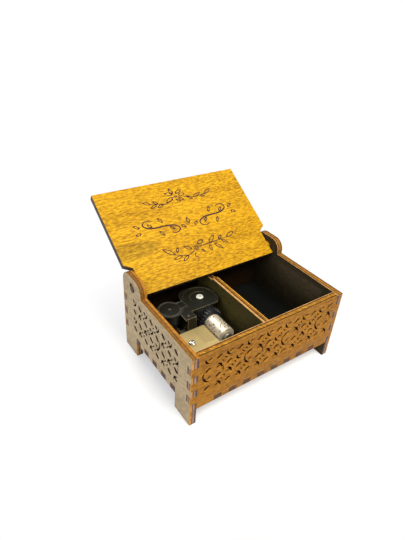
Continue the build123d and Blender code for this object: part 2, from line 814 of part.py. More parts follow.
# Cap of the governor, with the tab that lies on the bridge leg and the upper hole of the worm
with BuildPart() as governor_cap:
    with BuildSketch(ground.offset(case_z)):
        with Locations((fan_x, fan_y)):
            Circle(cap_radius)
            Rectangle(tab_reach, tab_width, align=(Align.MIN, Align.CENTER))
    extrude(amount=bridge_thick)
    with BuildSketch(ground.offset(case_z)):
        with Locations((fan_x, fan_y)):
            Circle(worm_core + run_clear)
    extrude(amount=bridge_thick / 2, mode=Mode.SUBTRACT)
governor_cap.part.label = "governor_cap"
export_step(governor_cap.part, "parts/governor_cap.step")

# Governor arbor, cut in one piece with the pinion that the great wheel drives
passed_teeth = (governor_turn + pi / 2) * crown_teeth / (2 * pi)
pinion_phase = -pi / 2 + (0.5 - passed_teeth % 1) * 2 * pi / pinion_teeth
with BuildPart() as governor_pinion:
    with BuildSketch(governor_plane(crown_inner)):
        gear_outline(
            pinion_teeth, pinion_pitch + addendum, pinion_pitch - dedendum, pinion_tooth_tip,
            pinion_tooth_root, pinion_phase,
        )
    extrude(amount=pinion_length)
    with BuildSketch(governor_plane(crown_inner)):
        Circle(governor_arbor)
    extrude(amount=wheel_away + wheel_thick - crown_inner)
governor_pinion.part.label = "governor_pinion"
export_step(governor_pinion.part, "parts/governor_pinion.step")

# Worm wheel pressed on the outer end of the governor arbor
with BuildPart() as worm_wheel:
    with BuildSketch(governor_plane(wheel_away - wheel_thick / 2)):
        gear_outline(
            wheel_teeth, wheel_pitch + wheel_addendum, wheel_pitch - wheel_dedendum,
            wheel_tooth_tip, wheel_tooth_root, pi,
        )
        Circle(governor_arbor + push_clear, mode=Mode.SUBTRACT)
    extrude(amount=wheel_thick)
worm_wheel.part.label = "worm_wheel"
export_step(worm_wheel.part, "parts/worm_wheel.step")

# Worm: an upright steel shaft with a helical thread, half a step off the wheel's nearest tooth
thread_foot = governor_z - worm_turns / 2 * thread_step
shaft_foot = bed_top - bed_thick / 2 + run_clear
worm_axis = Plane(
    origin=ground.from_local_coords((fan_x, fan_y, thread_foot)),
    x_dir=(sin(governor_turn), -cos(governor_turn), 0),
    z_dir=(0, 0, 1),
)
thread_turn = [2 * pi * k / thread_facets for k in range(worm_turns * thread_facets + 1)]
with BuildPart() as governor_worm:
    with BuildLine(worm_axis, mode=Mode.PRIVATE) as worm_middle:
        Line((0, 0, 0), (0, 0, worm_turns * thread_step))
    with BuildLine(worm_axis) as thread_path:
        Polyline(*[
            (worm_core * cos(turn), worm_core * sin(turn), thread_step * turn / (2 * pi))
            for turn in thread_turn
        ])
    with BuildSketch(Plane(origin=thread_path.line @ 0, x_dir=worm_axis.x_dir, z_dir=thread_path.line % 0)):
        Polygon(
            (-thread_sunk, -thread_root / 2),
            (worm_outer - worm_core, 0),
            (-thread_sunk, thread_root / 2),
            align=None,
        )
    sweep(path=thread_path.line, transition=Transition.RIGHT, binormal=worm_middle.line.edge())
    with BuildSketch(worm_axis.offset(-thread_root)):
        RegularPolygon(worm_core, thread_facets)
    extrude(amount=worm_turns * thread_step + 2 * thread_root)
    with BuildSketch(ground.offset(shaft_foot)):
        with Locations((fan_x, fan_y)):
            Circle(worm_core - 2 * push_clear)
    extrude(amount=case_z + bridge_thick / 2 - run_clear - shaft_foot)
governor_worm.part.label = "governor_worm"
export_step(governor_worm.part, "parts/governor_worm.step")

# Fan: two wings on a hub pushed on the worm's shaft, which air holds back
fan_foot = cup_z + cup_floor + fan_gap
with BuildPart() as governor_fan:
    with BuildSketch(ground.offset(fan_foot)):
        with Locations((fan_x, fan_y)):
            Rectangle(fan_hub, fan_hub)
            Rectangle(2 * fan_radius, fan_thick)
            Circle(worm_core + push_clear, mode=Mode.SUBTRACT)
    extrude(amount=fan_height)
governor_fan.part.label = "governor_fan"
export_step(governor_fan.part, "parts/governor_fan.step")
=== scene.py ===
"""Dresses the music box: carved plywood walls, an engraved lid, felt and a wind-up comb movement.
Metres. X runs to the right, Y to the back and Z up; the lid stands open at rest."""
import json
import math

import bmesh
import bpy
import numpy as np
from mathutils import Matrix, Vector


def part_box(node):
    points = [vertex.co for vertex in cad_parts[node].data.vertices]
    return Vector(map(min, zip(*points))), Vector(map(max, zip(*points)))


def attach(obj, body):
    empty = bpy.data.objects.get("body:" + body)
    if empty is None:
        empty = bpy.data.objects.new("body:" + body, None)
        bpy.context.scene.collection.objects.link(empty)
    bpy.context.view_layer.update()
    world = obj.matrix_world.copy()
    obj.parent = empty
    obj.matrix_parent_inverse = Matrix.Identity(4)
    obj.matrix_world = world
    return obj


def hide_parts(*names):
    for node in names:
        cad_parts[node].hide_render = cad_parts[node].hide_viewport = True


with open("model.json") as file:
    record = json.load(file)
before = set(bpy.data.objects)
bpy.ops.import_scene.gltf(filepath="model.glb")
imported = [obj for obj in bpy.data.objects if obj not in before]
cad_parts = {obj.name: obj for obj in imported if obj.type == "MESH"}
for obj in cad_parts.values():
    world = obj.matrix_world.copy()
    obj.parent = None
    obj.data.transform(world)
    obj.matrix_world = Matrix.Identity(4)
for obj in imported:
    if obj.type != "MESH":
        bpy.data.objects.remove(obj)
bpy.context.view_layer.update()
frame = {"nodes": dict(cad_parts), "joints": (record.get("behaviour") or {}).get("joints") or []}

# Front and back walls: laser-cut three-ply birch, stained golden brown, with scorched cut edges.
# They finger into the side walls and take the floor's tabs. A plait of leaves, slots and broken
# rings is cut into the outer face, almost halfway through the board.
ply = 0.004
wall_low, wall_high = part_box("front_panel")
wall_top = wall_high.z
half_width = wall_high.x
box_front = wall_low.y
box_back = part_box("back_panel")[1].y
box_middle = (box_front + box_back) / 2
wall_round = 0.00009

stain_light = (0.355, 0.148, 0.0085, 1)
stain_dark = (0.160, 0.062, 0.004, 1)
scorched = (0.085, 0.050, 0.044, 1)
charred = (0.050, 0.022, 0.018, 1)
grey_core = (0.26, 0.165, 0.105, 1)
warm_core = (0.42, 0.19, 0.040, 1)
sanded = (0.52, 0.29, 0.095, 1)
glue_brown = (0.075, 0.026, 0.006, 1)
olive_line = (0.058, 0.033, 0.008, 1)
gold_ply = (0.30, 0.118, 0.008, 1)
gold_bright = (0.72, 0.40, 0.065, 1)
patch_tint = (0.60, 0.62, 0.9, 1)
upright_plies = ((0.0, 0.28, scorched), (0.33, 0.56, grey_core), (0.60, 0.66, charred),
                 (0.72, 1.0, warm_core))
top_plies = ((0.0, 0.09, sanded), (0.14, 0.27, glue_brown), (0.33, 0.71, gold_ply),
             (0.75, 0.90, olive_line), (0.95, 1.0, stain_light))

merge_within = 1e-6
flat_within = math.radians(0.6)
corner_from = math.radians(32)
face_skin = 0.0005
rim_skin = 0.0005
ply_wander = 0.0005
ripple_fine, ripple_sway = 2600.0, 22.0
dash_fine, dash_long = 1000.0, 160.0
dash_from, dash_to = 0.31, 0.73
lit_from, lit_to = 0.00075, 0.0002


class Finish:
    """A material under construction. place and normal are its object coordinates."""

    def __init__(self, name):
        self.material = bpy.data.materials.new(name)
        self.material.use_nodes = True
        self.tree = self.material.node_tree
        self.shader = self.tree.nodes["Principled BSDF"]
        coordinates = self.add("ShaderNodeTexCoord").outputs
        self.place = coordinates["Object"]
        self.normal = coordinates["Normal"]

    def set(self, socket, value):
        """Links another node's output to the socket, or writes a constant into it."""
        if isinstance(value, bpy.types.NodeSocket):
            self.tree.links.new(value, socket)
        else:
            socket.default_value = value

    def add(self, kind, sockets=(), **settings):
        """New node with these settings, and its sockets filled by name or number."""
        made = self.tree.nodes.new(kind)
        for key, value in settings.items():
            setattr(made, key, value)
        for key, value in dict(sockets).items():
            self.set(made.inputs[key], value)
        return made

    def maths(self, operation, *values):
        """One step of arithmetic or comparison; a comparison gives 1 or 0."""
        return self.add("ShaderNodeMath", dict(enumerate(values)), operation=operation).outputs[0]

    def product(self, first, *others):
        """The values multiplied together."""
        for other in others:
            first = self.maths("MULTIPLY", first, other)
        return first

    def weighed(self, *pairs):
        """Sum of the values, each times its weight."""
        first, *others = [self.maths("MULTIPLY", value, weight) for value, weight in pairs]
        for other in others:
            first = self.maths("ADD", first, other)
        return first

    def along(self, vector, direction):
        """Length of a vector socket along a fixed direction."""
        sockets = {0: vector, 1: tuple(direction)}
        return self.add("ShaderNodeVectorMath", sockets, operation="DOT_PRODUCT").outputs["Value"]

    def noise(self, vector, scale, detail=4.0, rough=0.55, distortion=0.0):
        """Smooth noise about 0.5, with scale grains to a metre of the vector."""
        sockets = {"Vector": vector, "Scale": scale, "Detail": detail, "Roughness": rough,
                   "Distortion": distortion}
        return self.add("ShaderNodeTexNoise", sockets).outputs[0]

    def ramp(self, value, stops):
        """Colour ramp from (place, colour) pairs."""
        made = self.add("ShaderNodeValToRGB", {"Fac": value})
        for k, (where, colour) in enumerate(stops):
            stop = made.color_ramp.elements[k] if k < 2 else made.color_ramp.elements.new(where)
            stop.position = where
            stop.color = colour
        return made.outputs[0]

    def level(self, value, low, high, to_low=0.0, to_high=1.0):
        """Maps low..high to to_low..to_high, held at both ends."""
        sockets = {"Value": value, "From Min": low, "From Max": high, "To Min": to_low,
                   "To Max": to_high}
        return self.add("ShaderNodeMapRange", sockets).outputs[0]

    def mix(self, share, first, second, blend="MIX"):
        """Colour that goes from the first to the second with the share."""
        made = self.add("ShaderNodeMix", data_type="RGBA", blend_type=blend)
        for socket, value in ((0, share), (6, first), (7, second)):
            self.set(made.inputs[socket], value)
        return made.outputs[2]

    def bump(self, height, distance, strength):
        """Fine relief: the normal is tilted by the slope of the height."""
        sockets = {"Height": height, "Distance": distance, "Strength": strength}
        self.set(self.shader.inputs["Normal"], self.add("ShaderNodeBump", sockets).outputs[0])

    def paint(self, colour, rough, specular=0.5, metallic=0.0):
        """Fills the shader's own sockets, each with a constant or another node's output."""
        for name, value in (("Base Color", colour), ("Roughness", rough),
                            ("Specular IOR Level", specular), ("Metallic", metallic)):
            self.set(self.shader.inputs[name], value)


def plywood(name, grain, through, middle, light=stain_light, dark=stain_dark, inner=(1, 1, 1),
            upright=upright_plies, top=top_plies, dashes=0.0, patch=None, plait=None,
            pocket=(charred, charred), ends=0.0):
    """Three-ply board. grain is the direction of the face veneer's grain, through the outward
    direction of its faces, and middle a point halfway through. Faces looking back along through
    are darkened by inner, which is painted shade. Cut edges show the plies: upright and top list
    them from the inner face outwards as (from, to, colour). dashes is how strongly bright end grain
    shows in the top edge's middle ply, patch the centre and half sizes of a darker, wavy figure, and
    plait the half length, low and high of the lattice. Its pockets have walls of the two pocket
    colours: the second is painted light on the walls that face up near the face, the first colours
    the rest and the pocket floors. ends is how far the cut edges across the grain are scorched."""
    grain, through = Vector(grain), Vector(through)
    f = Finish(name)
    spot = f.add("ShaderNodeVectorMath", {0: f.place, 1: tuple(middle)}, operation="SUBTRACT").outputs[0]
    run, cross, out = (f.along(spot, axis) for axis in (grain, through.cross(grain), through))
    height = f.along(f.place, (0, 0, 1))
    facing = f.along(f.normal, through)
    rising = f.along(f.normal, (0, 0, 1))
    flat = f.maths("GREATER_THAN", f.maths("ABSOLUTE", facing), 0.75)
    outermost = f.maths("GREATER_THAN", f.maths("ABSOLUTE", out), ply / 2 - face_skin)

    def stretched(along_scale, across_scale):
        """Place on the board, scaled along and across the grain."""
        sockets = {0: f.maths("MULTIPLY", run, along_scale), 1: f.maths("MULTIPLY", cross, across_scale),
                   2: f.maths("MULTIPLY", out, across_scale)}
        return f.add("ShaderNodeCombineXYZ", sockets).outputs[0]

    figure = f.noise(stretched(14, 190), 1.0, detail=3, distortion=0.7)
    fleck = f.noise(stretched(300, 1050), 1.0, detail=2, rough=0.6)
    fibre = f.noise(stretched(120, 2300), 1.0, detail=2)
    cloud = f.noise(stretched(22, 36), 1.0, detail=2)
    tone = f.weighed((figure, 0.24), (fleck, 0.70), (fibre, 0.20), (cloud, 0.16))
    veneer = f.ramp(f.level(tone, 0.52, 0.78), [(0.0, dark), (1.0, light)])
    if patch:
        ripple = f.maths("SINE", f.weighed((cross, ripple_fine), (figure, ripple_sway)))
        away = [f.maths("DIVIDE", f.maths("SUBTRACT", value, centre), half)
                for value, centre, half in zip((run, cross), *patch)]
        reach = f.maths("SQRT", f.maths("ADD", *[f.maths("MULTIPLY", v, v) for v in away]))
        inside = f.product(f.level(reach, 0.82, 1.04, 1.0, 0.0), f.level(ripple, -1.0, 1.0, 0.55, 1.0),
                           f.maths("GREATER_THAN", facing, 0.0))
        veneer = f.mix(inside, veneer, f.mix(1.0, veneer, patch_tint, "MULTIPLY"))
    # Painted shade: faces looking back along through are darkened by inner.
    painted_shade_faces = f.maths("LESS_THAN", facing, 0.0)
    veneer = f.mix(painted_shade_faces, veneer, f.mix(1.0, veneer, (*inner, 1), "MULTIPLY"))

    sway = f.maths("MULTIPLY", f.maths("SUBTRACT", f.noise(stretched(120, 120), 1.0), 0.5), ply_wander)
    layer = f.level(f.maths("ADD", out, sway), -ply / 2, ply / 2)
    sides, tops = [
        f.ramp(layer, [stop for low, high, colour in plies for stop in ((low, colour), (high, colour))])
        for plies in (upright, top)
    ]
    slant = f.add("ShaderNodeCombineXYZ", {0: f.maths("MULTIPLY", f.maths("SUBTRACT", run, out), dash_fine),
                                           1: f.maths("MULTIPLY", out, dash_long)}).outputs[0]
    bright = f.level(f.noise(slant, 1.0, detail=1), 0.53, 0.64, 0.0, dashes)
    middle_ply = f.product(f.maths("GREATER_THAN", layer, dash_from), f.maths("LESS_THAN", layer, dash_to))
    tops = f.mix(f.product(bright, middle_ply), tops, gold_bright)
    at_rim = f.maths("GREATER_THAN", height, wall_top - rim_skin)
    cut = f.mix(f.maths("MAXIMUM", f.level(rising, 0.2, 0.6), at_rim), sides, tops)
    end_grain = f.maths("GREATER_THAN", f.maths("ABSOLUTE", f.along(f.normal, grain)), 0.7)
    cut = f.mix(f.maths("MULTIPLY", end_grain, ends), cut, scorched)
    if plait:
        half_length, lowest, highest = plait
        lattice = f.product(f.maths("LESS_THAN", f.maths("ABSOLUTE", run), half_length),
                            f.maths("GREATER_THAN", height, lowest), f.maths("LESS_THAN", height, highest))
        # Painted light in the pockets: walls facing up near the face take the second pocket colour.
        painted_light_mask = f.product(f.level(rising, 0.0, 0.5), f.level(out, ply / 2 - lit_from, ply / 2 - lit_to))
        cut = f.mix(lattice, cut, f.mix(painted_light_mask, *pocket))
    burn = f.level(f.noise(f.place, 420, detail=3), 0.35, 0.7, 0.7, 1.2)
    shade = f.add("ShaderNodeCombineColor", {0: burn, 1: burn, 2: burn}).outputs[0]
    cut = f.mix(1.0, cut, shade, "MULTIPLY")

    f.paint(f.mix(flat, cut, f.mix(outermost, pocket[0], veneer)), 0.6, specular=0.12)
    f.bump(f.weighed((fleck, 0.6), (fibre, 0.4)), 0.0001, 0.3)
    return f.material


def mesh_of(verts, faces):
    """Mesh from its vertices and the numbers of each face's corners."""
    made = bpy.data.meshes.new("shape")
    made.from_pydata([tuple(v) for v in verts], [], [tuple(x) for x in faces])
    made.validate()
    return made


def smoothed(mesh, sharp_from):
    """The mesh shaded smooth, but for the edges sharper than this many degrees."""
    mesh.shade_smooth()
    mesh.set_sharp_from_angle(angle=math.radians(sharp_from))
    return mesh


def placed(name, data):
    """New object with this name and data, linked into the scene."""
    made = bpy.data.objects.new(name, data)
    bpy.context.scene.collection.objects.link(made)
    return made


def baked(piece):
    """The object's mesh with its modifiers applied."""
    graph = bpy.context.evaluated_depsgraph_get()
    return bpy.data.meshes.new_from_object(piece.evaluated_get(graph))


def show(name, mesh, body, slot, material, *nodes):
    """A finished piece at the origin: rides on its body and stands for the nodes named last.
    material is one finish, or a tuple of the finishes its faces pick from."""
    mesh.name = name
    piece = placed(name, mesh)
    for k, finish in enumerate(material if isinstance(material, tuple) else (material,)):
        if k < len(mesh.materials):
            mesh.materials[k] = finish
        else:
            mesh.materials.append(finish)
    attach(piece, body)
    if nodes:
        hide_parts(*nodes)
    return piece


def eased(node, width, segments=2, fill=None, cutters=(), plain=None, rim=False):
    """Mesh of a node with the fill mesh joined on, each cutter's prisms taken out in turn and its
    flat triangles joined. Its sharp edges are rounded by width, but for those inside the plain
    box. With rim the rounded edges take the second of two finishes."""
    shape = bmesh.new()
    shape.from_mesh(frame["nodes"][node].data)
    bmesh.ops.remove_doubles(shape, verts=shape.verts, dist=merge_within)
    bmesh.ops.dissolve_limit(shape, angle_limit=flat_within, verts=shape.verts, edges=shape.edges)
    work = placed("work", bpy.data.meshes.new("work"))
    shape.to_mesh(work.data)
    steps = [("UNION", fill)] if fill else []
    for operation, other in steps + [("DIFFERENCE", cutter) for cutter in cutters]:
        tool = placed("tool", other)
        cut = work.modifiers.new("cut", "BOOLEAN")
        cut.operation = operation
        cut.solver = "EXACT"
        cut.object = tool
        work.data = baked(work)
        work.modifiers.clear()
        bpy.data.objects.remove(tool)
    shape.clear()
    shape.from_mesh(work.data)
    weight = shape.edges.layers.float.new("bevel_weight_edge")
    for edge in shape.edges:
        inside = plain and all(plain[0][k] < v.co[k] < plain[1][k] for v in edge.verts for k in range(3))
        if not inside and edge.calc_face_angle(0) > corner_from:
            edge[weight] = 1
    shape.to_mesh(work.data)
    shape.free()
    work.data.materials.clear()
    ease = work.modifiers.new("ease", "BEVEL")
    ease.width = width
    ease.segments = segments
    ease.limit_method = "WEIGHT"
    ease.use_clamp_overlap = False
    if rim:
        work.data.materials.append(None)
        work.data.materials.append(None)
        ease.material = 1
    made = baked(work)
    bpy.data.objects.remove(work)
    return smoothed(made, 28)


def prisms(outlines, corner, right, up, low, high):
    """One mesh of prisms: each outline, in the plane of right and up, runs from low to high
    along their cross product."""
    corner, right, up = (np.array(v, float) for v in (corner, right, up))
    out = np.cross(right, up)
    verts, faces = [], []
    for outline in outlines:
        flat = np.array(outline)
        start, count = len(verts), len(flat)
        base = corner + flat[:, :1] * right + flat[:, 1:] * up
        verts += list(base + low * out) + list(base + high * out)
        ring = start + np.arange(count)
        after = np.roll(ring, -1)
        faces += [ring[::-1], count + ring]
        faces += list(np.stack([ring, after, count + after, count + ring], 1))
    return mesh_of(verts, faces)


pitch_u, pitch_v = 0.00658, 0.0064
plait_rows = 4
pocket_deep = 0.0019
leaf_tilt = math.radians(-52)
leaf_lower = (0.0030, -0.00030, 0.00165)
leaf_upper = (0.0027, -0.00028, 0.00040)
long_slot = (0.0040, 0.0020)
short_slot = (0.0024, 0.0017)
short_slot_up, short_slot_drop = 0.00115, 0.0007
dash_slot = (0.0023, 0.00075)
dash_apart = (0.0009, 0.0007)
ring_radius = 0.0062
ring_arcs = ((1, 26, 0.00060), (-1, 34, 0.00085))
ring_taper = 1.35


def crescent():
    """Slit of one leaf: two parabolas over its length, the lower with more sag than the upper.
    Each is given as its half length, the height of its ends and its sag."""
    s = np.linspace(-1, 1, 13)
    arcs = [np.stack([half * way, tip - sag * (1 - way**2)], 1)
            for (half, tip, sag), way in ((leaf_lower, s), (leaf_upper, s[::-1]))]
    return np.concatenate(arcs)


def slot(length, width):
    """Slit with round ends, along y."""
    turn = np.linspace(0, np.pi, 9)
    end = np.stack([width / 2 * np.cos(turn), (length - width) / 2 + width / 2 * np.sin(turn)], 1)
    return np.concatenate([end, -end])


def ring_slits():
    """Two bowed slits of a broken ring, each between two arcs and narrower towards its ends by a
    cosine: the right one short and thin, the left one longer."""
    made = []
    for way, spread, width in ring_arcs:
        turn = np.radians(np.linspace(-spread, spread, 17))
        half = width / 2 * np.cos(np.linspace(-ring_taper, ring_taper, 17))[:, None]
        line = np.stack([way * np.cos(turn), np.sin(turn)], 1)
        outer, inner = line * (ring_radius + half), line * (ring_radius - half)
        made.append(np.concatenate([outer, inner[::-1]])[::way])
    return made


def turned(outline, angle, place):
    """The outline turned about its origin and moved to the place."""
    c, s = math.cos(angle), math.sin(angle)
    return np.asarray(outline) @ np.array([[c, s], [-s, c]]) + np.array(place)


def slits(columns, centre, way, ring_every, ring_first):
    """Outlines of the plait of a wall with this many columns, as four lists: curved leaves, long
    and short slots between and beside them, short dashes in the gaps, and broken rings."""
    leaves, slots, dashes, rings = [], [], [], []
    middle_row = (plait_rows - 1) / 2

    def spot(column, row):
        """Place of a column and row of the plait."""
        return way * (column - (columns - 1) / 2) * pitch_u, centre + (middle_row - row) * pitch_v

    for column in range(columns):
        for row in range(plait_rows):
            place = spot(column, row)
            if (column + row) % 2:
                slots.append(turned(slot(*long_slot), leaf_tilt, place))
                continue
            half = (column // 2 + row) % 2 if 0 < row < plait_rows - 1 else int(row > 0)
            turn = leaf_tilt + math.pi * half
            leaves.append(turned(crescent(), turn, place))
            beside = slot(*short_slot) + [0, short_slot_up - short_slot_drop * half]
            slots.append(turned(beside, turn, place))
    for row in (middle_row - 1, middle_row, middle_row + 1):
        first, every = (2.5, 4) if row == middle_row else (1.5, 2)
        for column in np.arange(first, columns - 1, every):
            for side in (-1, 1):
                u, v = spot(column, row)
                place = (u + side * dash_apart[0], v + side * dash_apart[1])
                dashes.append(turned(slot(*dash_slot), leaf_tilt + math.pi / 2, place))
    for column in np.arange(ring_first, columns, ring_every):
        rings += [arc + np.array(spot(column, middle_row)) for arc in ring_slits()]
    return leaves, slots, dashes, rings


def lattice_of(columns, centre):
    """Half length, low and high of a plait with this many columns."""
    half_rows = pitch_v * plait_rows / 2
    return pitch_u * columns / 2, centre - half_rows, centre + half_rows


def wall(node, middle, right, up, columns, centre, way, ring_every, ring_first):
    """A wall with its plait cut as pockets from the outer face: the lattice is filled first. The
    cross product of right and up points outwards. The outlines are drawn along the positive axis,
    and are mirrored where right runs against it."""
    flip = 1 if sum(right) > 0 else -1
    half_u, low_v, high_v = lattice_of(columns, centre)
    sheet = np.array([[-half_u, low_v], [half_u, low_v], [half_u, high_v], [-half_u, high_v]])
    fill = prisms([sheet], middle, right, up, -ply / 2, ply / 2)
    cutters = [prisms([(outline * [flip, 1])[::flip] for outline in outlines], middle, right, up,
                      ply / 2 - pocket_deep, ply)
               for outlines in slits(columns, centre, way, ring_every, ring_first)]
    right, up = Vector(right), Vector(up)
    corners = [Vector(middle) + side * half_u * right + edge * up
               for side, edge in ((-1, low_v), (1, high_v))]
    beyond = 0.1 * right.cross(up)
    low = [min(v[k] for v in corners) - abs(beyond[k]) for k in range(3)]
    high = [max(v[k] for v in corners) + abs(beyond[k]) for k in range(3)]
    return eased(node, wall_round, 1, fill, cutters, (low, high))


front_columns = 14
front_centre = 0.0327
# Pocket colours: burnt char, darkened further as painted shade in the depths, and gold painted light for
# the upward walls near the face.
pocket_char_and_shade = (0.032, 0.011, 0.006, 1)
pocket_painted_gold_light = (0.50, 0.205, 0.009, 1)
# The inside faces are darkened as painted shade.
front_inside_painted_shade = (0.10, 0.16, 0.60)
back_inside_painted_shade = (0.060, 0.070, 0.35)
for name, node, middle_y, through, shade in (
    ("front_wall", "front_panel", box_front + ply / 2, (0, -1, 0), front_inside_painted_shade),
    ("back_wall", "back_panel", box_back - ply / 2, (0, 1, 0), back_inside_painted_shade),
):
    wood = plywood(f"{name}_wood", (1, 0, 0), through, (0, middle_y, 0), inner=shade, dashes=0.85,
                   plait=lattice_of(front_columns, front_centre), pocket=(pocket_char_and_shade, pocket_painted_gold_light))
    mesh = wall(node, (0, middle_y, 0), (-through[1], 0, 0), (0, 0, 1), front_columns, front_centre,
                way=1, ring_every=4, ring_first=0.5)
    show(name, mesh, "root", "plywood", wood, node)

# Side walls: the same board, coloured paler and greyer as painted cool light on the sides. Each is
# cut in one piece with its two legs and the rear ear, whose round hole takes a peg of the lid. The
# shorter plait has one broken ring.
side_columns = 8
side_centre = 0.0315
side_pale_painted_cool = (0.43, 0.320, 0.186, 1)
side_dark_painted_cool = (0.25, 0.182, 0.102, 1)
side_gold = (0.36, 0.145, 0.014, 1)
side_brown = (0.20, 0.085, 0.012, 1)
side_plies = ((0.0, 0.38, side_gold), (0.42, 0.47, glue_brown), (0.52, 0.84, side_brown),
              (0.9, 1.0, stain_dark))
# Painted shade on the inside faces, and painted shade and light in the pocket walls.
side_inside_painted_shade = (0.11, 0.105, 0.085)
side_pocket_shade_and_light = ((0.040, 0.022, 0.020, 1), (0.075, 0.034, 0.020, 1))
for name, node, way, plies in (("left_wall", "left_side_panel", -1, side_plies),
                               ("right_wall", "right_side_panel", 1, top_plies)):
    middle = (way * (half_width - ply / 2), box_middle, 0)
    wood = plywood(f"{name}_wood", (0, 1, 0), (way, 0, 0), middle, side_pale_painted_cool, side_dark_painted_cool, side_inside_painted_shade,
                   top=plies, plait=lattice_of(side_columns, side_centre), pocket=side_pocket_shade_and_light)
    mesh = wall(node, middle, (0, way, 0), (0, 0, 1), side_columns, side_centre,
                way=way, ring_every=8, ring_first=3.5)
    show(name, mesh, "root", "plywood", wood, node)

# Floor: the same plywood, held by tabs through all four walls. The tabs show their three plies in
# the front and back walls, and scorched end grain in the side walls.
tab_brown = (0.115, 0.056, 0.024, 1)
tab_plies = ((0.0, 0.08, charred), (0.13, 0.30, tab_brown), (0.36, 0.43, charred), (0.49, 0.62, stain_dark),
             (0.67, 0.74, charred), (0.79, 0.90, tab_brown), (0.95, 1.0, charred))
floor_low, floor_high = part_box("bottom_panel")
# Its top face, inside the box, is darkened by inner as painted shade.
floor_wood = plywood("floor_wood", (1, 0, 0), (0, 0, -1), (0, 0, (floor_low.z + floor_high.z) / 2),
                     inner=(0.10, 0.12, 0.30), upright=tab_plies, ends=0.8)
show("box_floor", eased("bottom_panel", wall_round, 1), "root", "plywood", floor_wood, "bottom_panel")

# Partition: a board between the movement and the keepsakes, tabbed into the floor and the long walls,
# coloured dark as painted shade deep in the box. Its sanded top edge shows the plies.
divider_painted_shade_pale = (0.085, 0.066, 0.0180, 1)
divider_painted_shade_deep = (0.046, 0.036, 0.0100, 1)
divider_plies = ((0.0, 0.26, sanded), (0.32, 0.52, glue_brown), (0.58, 0.86, gold_ply),
                 (0.92, 1.0, gold_bright))
divider_round = 0.00012
divider_x = (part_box("partition")[0].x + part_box("partition")[1].x) / 2
divider_wood = plywood("partition_wood", (0, 1, 0), (1, 0, 0), (divider_x, 0, 0), divider_painted_shade_pale,
                       divider_painted_shade_deep, top=divider_plies)
show("divider", eased("partition", divider_round, 1), "root", "plywood", divider_wood, "partition")

# Felt: a short-napped black sheet, cut a little small and laid loose on the floor of the right
# compartment. It lies in low waves, which take the last fifth of its solid's thickness.
felt_low, felt_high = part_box("felt_floor")
felt_thick = felt_high.z - felt_low.z
felt_cells = 60
felt_wave = 0.00004
felt_share = 0.8


def felt_sheet():
    """Grid over the compartment's floor; height is a sum of three long, low waves."""
    u, v = np.meshgrid(np.linspace(0, 1, felt_cells), np.linspace(0, 1, felt_cells), indexing="ij")
    x = felt_low.x + (felt_high.x - felt_low.x) * u
    y = felt_low.y + (felt_high.y - felt_low.y) * v
    wave = np.sin(7 * u + 3 * v) + np.sin(5 * v - 4 * u + 1) + 0.6 * np.sin(13 * u * v + 2)
    z = felt_low.z + felt_thick / 2 + felt_wave * wave
    k = np.arange(felt_cells * felt_cells).reshape(felt_cells, felt_cells)
    faces = np.stack([k[:-1, :-1], k[1:, :-1], k[1:, 1:], k[:-1, 1:]], -1).reshape(-1, 4)
    return mesh_of(np.stack([x, y, z], -1).reshape(-1, 3), faces)


# Near black, darker than felt: the colour also holds the painted shade of the deep compartment.
f = Finish("black_felt_and_shade")
nap = f.noise(f.place, 2600, detail=3)
worn = f.noise(f.place, 60, detail=2)
f.paint(f.ramp(f.weighed((nap, 0.7), (worn, 0.3)),
               [(0.3, (0.0014, 0.0018, 0.0014, 1)), (0.75, (0.0060, 0.0070, 0.0056, 1))]),
        0.95, specular=0.1)
f.bump(nap, 0.0002, 0.8)
felt = show("felt_lining", felt_sheet(), "root", "felt", f.material, "felt_floor")
body = felt.modifiers.new("body", "SOLIDIFY")
body.thickness = felt_thick * felt_share
body.offset = 0

# Lid: one plywood board that turns on square pegs, its inner face coloured brighter than the walls.
# A laser has burnt two leafy sprigs and a scroll into it, here narrow strips of char set in the face.
joints = {joint["name"]: joint for joint in frame["joints"]}
lid_hinge = Vector(joints["lid_hinge"]["pos_m"])
lid_open = math.radians(joints["lid_hinge"]["range_deg"][1])
lid_along = Vector((0, -math.cos(lid_open), math.sin(lid_open)))
lid_inward = Vector((0, -math.sin(lid_open), -math.cos(lid_open)))
lid_light = (0.69, 0.362, 0.0082, 1)
lid_dark = (0.28, 0.130, 0.0026, 1)
lid_grey = (0.060, 0.042, 0.036, 1)
lid_brown = (0.085, 0.060, 0.045, 1)
lid_plies = ((0.0, 0.4, lid_grey), (0.5, 0.6, charred), (0.7, 1.0, lid_brown))
lid_round = 0.00012
line_deep = 0.00028
line_proud = 0.00003
line_wide = 0.00050
stem_wide = 0.00060

# The outer face, looking back along lid_inward, is darkened by inner as painted shade.
lid_wood = plywood("lid_wood", (1, 0, 0), lid_inward, lid_hinge, lid_light, lid_dark, (0.62, 0.60, 0.8),
                   lid_plies, lid_plies, patch=((-0.052, 0.0208), (0.0275, 0.0064)))
show("lid_board", eased("lid", lid_round, 2), "lid", "lid_plywood", lid_wood, "lid")


def stroke(path, width):
    """Closed outline of a line: the path shifted to both sides by half its local width."""
    step = np.gradient(path, axis=0)
    side = np.stack([-step[:, 1], step[:, 0]], 1) / np.linalg.norm(step, axis=1)[:, None]
    half = np.broadcast_to(width, len(path))[:, None] / 2
    return np.concatenate([path + side * half, (path - side * half)[::-1]])


def leaf(length, width):
    """Oval leaf along +x: half its width is a raised sine of the way along."""
    s = np.linspace(0, 1, 13)
    half = width / 2 * np.sin(np.pi * s**0.9) ** 0.8
    upper = np.stack([length * s, half], 1)
    return np.concatenate([upper, (upper * [1, -1])[-2:0:-1]])


